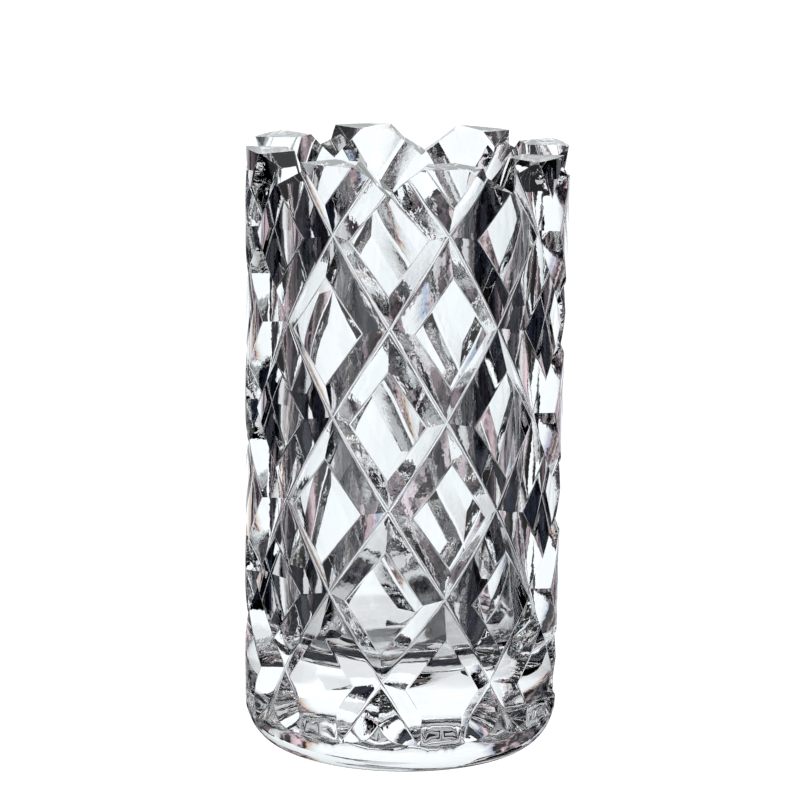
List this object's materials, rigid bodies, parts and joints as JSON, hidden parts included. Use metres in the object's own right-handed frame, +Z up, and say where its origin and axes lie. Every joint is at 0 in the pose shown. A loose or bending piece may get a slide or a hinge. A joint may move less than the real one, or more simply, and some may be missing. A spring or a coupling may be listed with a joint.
{
  "type": "cut crystal vase",
  "caption": "Thick cylindrical vase of clear cut crystal, its wall cut all round in a diamond lattice and its rim cut into flat-topped teeth.",
  "frame": {"origin": "centre of the flat base, on the surface the vase stands on", "axes": "+Z up along the vase's axis, towards the open rim; one rim notch is centred on -Y"},
  "size_m": [0.106, 0.106, 0.2],
  "materials": {
    "crystal": "polished clear crystal with bright cut facets"
  },
  "bodies": {
    "root": {"vase_body": "crystal"}
  },
  "joints": []
}
